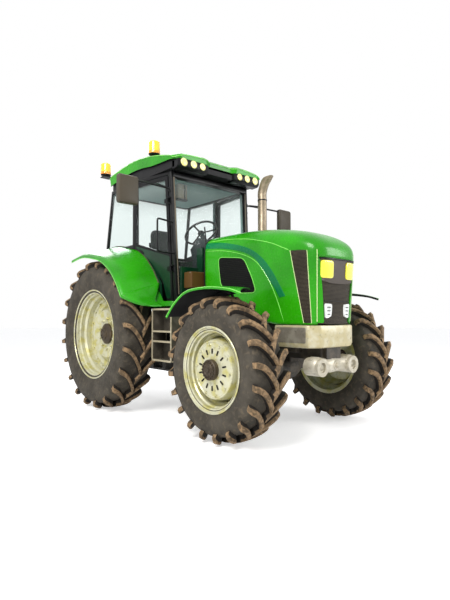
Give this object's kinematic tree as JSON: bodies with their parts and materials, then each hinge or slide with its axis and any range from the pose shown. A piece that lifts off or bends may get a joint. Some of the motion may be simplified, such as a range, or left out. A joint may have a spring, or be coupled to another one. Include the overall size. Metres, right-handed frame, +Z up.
{
  "type": "farm tractor",
  "caption": "Four-wheel-drive farm tractor with glazed cab, tilting hood, steered front wheels, swinging doors and rear three-point linkage.",
  "frame": {"origin": "on the ground under the middle of the tractor's outline", "axes": "+Z up, the front faces -Y, +X to the tractor's left"},
  "size_m": [2.724, 4.1319, 3.308],
  "materials": {
    "paint_green": "gloss enamel",
    "paint_dark_green": "gloss enamel",
    "black_metal": "satin",
    "black_plastic": "satin moulding",
    "cast_silver": "silver painted casting",
    "cast_dark": "dark painted casting",
    "rim_silver": "silver painted pressed steel",
    "tyre_rubber": "worn rubber",
    "grille_brown": "satin mesh",
    "lamp_yellow": "clear lens",
    "beacon_amber": "clear lens",
    "glass": "tinted",
    "exhaust_tan": "heat-stained satin",
    "seat_fabric": "woven"
  },
  "bodies": {
    "chassis": {"engine_block": "cast_dark", "front_frame": "cast_silver", "front_axle": "cast_silver", "drivetrain_housing": "cast_dark", "drawbar": "black_metal", "front_bumper": "cast_silver", "cab_tub": "paint_dark_green", "cab_frame": "black_metal", "windshield": "glass", "rear_window": "glass", "seat_pedestal": "black_plastic", "seat_cushion": "seat_fabric", "seat_back": "seat_fabric", "dashboard": "black_plastic", "steering_wheel": "black_plastic", "beacon_front": "beacon_amber", "beacon_rear": "beacon_amber", "exhaust_stack": "exhaust_tan", "fuel_tank": "black_plastic", "tool_box": "black_plastic", "roof_shell": "paint_green", "roof_lining": "black_plastic", "rear_fender_right": "paint_green", "quarter_glass_right": "glass", "mirror_right": "exhaust_tan", "steps_right": "cast_silver", "rear_fender_left": "paint_green", "quarter_glass_left": "glass", "mirror_left": "exhaust_tan", "steps_left": "cast_silver"},
    "steered_end_right": {"steering_knuckle_right": "cast_dark", "front_fender_right": "paint_green"},
    "front_wheel_right": {"front_rim_right": "rim_silver", "front_tyre_right": "tyre_rubber"},
    "rear_wheel_right": {"rear_rim_right": "rim_silver", "rear_tyre_right": "tyre_rubber"},
    "door_right": {"door_frame_right": "paint_dark_green", "door_glass_right": "glass"},
    "steered_end_left": {"steering_knuckle_left": "cast_dark", "front_fender_left": "paint_green"},
    "front_wheel_left": {"front_rim_left": "rim_silver", "front_tyre_left": "tyre_rubber"},
    "rear_wheel_left": {"rear_rim_left": "rim_silver", "rear_tyre_left": "tyre_rubber"},
    "door_left": {"door_frame_left": "paint_dark_green", "door_glass_left": "glass"},
    "hood": {"hood_shell": "paint_green", "front_grille": "grille_brown", "headlamp_right": "lamp_yellow", "headlamp_left": "lamp_yellow"},
    "linkage_lower": {"lower_links": "black_metal"},
    "linkage_upper": {"lift_arms": "cast_dark"},
    "linkage_rods": {"lift_rod_right": "cast_dark", "lift_rod_left": "cast_dark"}
  },
  "joints": [
    {"name": "steering_right", "type": "hinge", "parent": "chassis", "child": "steered_end_right", "pos_m": [-0.66, -1.383, 0.668], "axis": [0, 0, 1], "range_deg": [-30, 30]},
    {"name": "front_wheel_roll_right", "type": "hinge", "parent": "steered_end_right", "child": "front_wheel_right", "pos_m": [-0.853, -1.383, 0.668], "axis": [1, 0, 0], "continuous": true},
    {"name": "rear_wheel_roll_right", "type": "hinge", "parent": "chassis", "child": "rear_wheel_right", "pos_m": [-0.906, 0.842, 0.926], "axis": [1, 0, 0], "continuous": true},
    {"name": "door_right_swing", "type": "hinge", "parent": "chassis", "child": "door_right", "pos_m": [-0.61993, -0.17302, 1.7], "axis": [-0.0165, 0.057, 0.9982], "range_deg": [0, 70]},
    {"name": "steering_left", "type": "hinge", "parent": "chassis", "child": "steered_end_left", "pos_m": [0.66, -1.383, 0.668], "axis": [0, 0, 1], "range_deg": [-30, 30]},
    {"name": "front_wheel_roll_left", "type": "hinge", "parent": "steered_end_left", "child": "front_wheel_left", "pos_m": [0.853, -1.383, 0.668], "axis": [1, 0, 0], "continuous": true},
    {"name": "rear_wheel_roll_left", "type": "hinge", "parent": "chassis", "child": "rear_wheel_left", "pos_m": [0.906, 0.842, 0.926], "axis": [1, 0, 0], "continuous": true},
    {"name": "door_left_swing", "type": "hinge", "parent": "chassis", "child": "door_left", "pos_m": [0.61993, -0.17302, 1.7], "axis": [-0.0165, -0.057, -0.9982], "range_deg": [0, 70]},
    {"name": "hood_tilt", "type": "hinge", "parent": "chassis", "child": "hood", "pos_m": [0, -0.425, 2.006], "axis": [-1, 0, 0], "range_deg": [0, 55]},
    {"name": "lower_link_lift", "type": "hinge", "parent": "chassis", "child": "linkage_lower", "pos_m": [0, 1.137, 0.6], "axis": [1, 0, 0], "range_deg": [-12, 18]},
    {"name": "lift_arm_turn", "type": "hinge", "parent": "chassis", "child": "linkage_upper", "pos_m": [0, 1.117, 1.15], "axis": [1, 0, 0], "range_deg": [-12, 18]},
    {"name": "lift_rod_swing", "type": "hinge", "parent": "linkage_upper", "child": "linkage_rods", "pos_m": [0, 1.53639, 1.12738], "axis": [1, 0, 0], "range_deg": [-18, 12]}
  ],
  "couplings": [
    {"joint": "steering_left", "follows": "steering_right", "ratio": 1},
    {"joint": "lift_arm_turn", "follows": "lower_link_lift", "ratio": 1},
    {"joint": "lift_rod_swing", "follows": "lower_link_lift", "ratio": -1}
  ]
}
